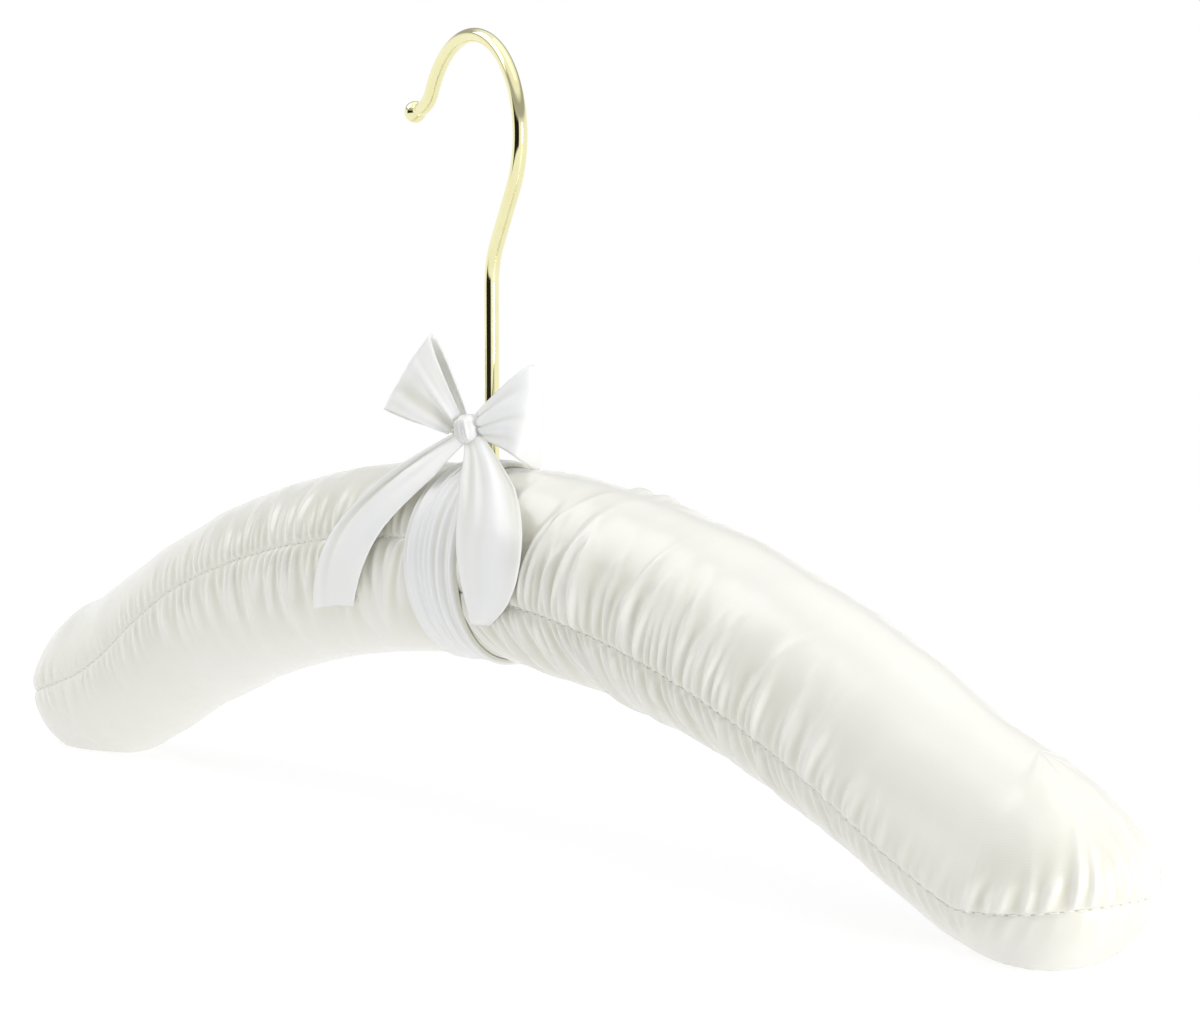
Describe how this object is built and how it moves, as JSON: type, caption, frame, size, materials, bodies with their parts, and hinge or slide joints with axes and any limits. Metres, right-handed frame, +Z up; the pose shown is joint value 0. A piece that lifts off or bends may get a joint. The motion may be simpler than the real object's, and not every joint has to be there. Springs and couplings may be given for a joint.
{
  "type": "padded clothes hanger",
  "caption": "Padded satin clothes hanger with arched arms, a swivelling wire hook with a ball tip, and a ribbon bow tied at the stem.",
  "frame": {"origin": "on the surface the hanger stands on, under the hook's stem, which is its swivel axis", "axes": "+X along the arms, -Y the front with the bow, +Z up"},
  "size_m": [0.3824, 0.0405, 0.1852],
  "materials": {
    "satin": "satin",
    "ribbon": "satin",
    "gold_metal": "polished",
    "steel": "satin",
    "wood": "matte",
    "wadding": "matte",
    "thread": "satin"
  },
  "bodies": {
    "root": {"wooden_core": "wood", "stem_eyelet": "gold_metal", "stem_washer": "steel", "left_padding": "wadding", "right_padding": "wadding", "left_upper_cover": "satin", "left_lower_cover": "satin", "right_upper_cover": "satin", "right_lower_cover": "satin", "left_seam_thread": "thread", "right_seam_thread": "thread", "centre_band": "ribbon", "ribbon_neck_loop": "ribbon", "ribbon_knot": "ribbon", "ribbon_left_loop": "ribbon", "ribbon_right_loop": "ribbon", "ribbon_left_tail": "ribbon", "ribbon_right_tail": "ribbon"},
    "hook": {"hook_wire": "gold_metal", "hook_tip_ball": "gold_metal", "stem_nut": "steel"}
  },
  "joints": [
    {"name": "hook_swivel", "type": "hinge", "parent": "root", "child": "hook", "pos_m": [0, 0, 0.0734], "axis": [0, 0, 1], "continuous": true}
  ]
}
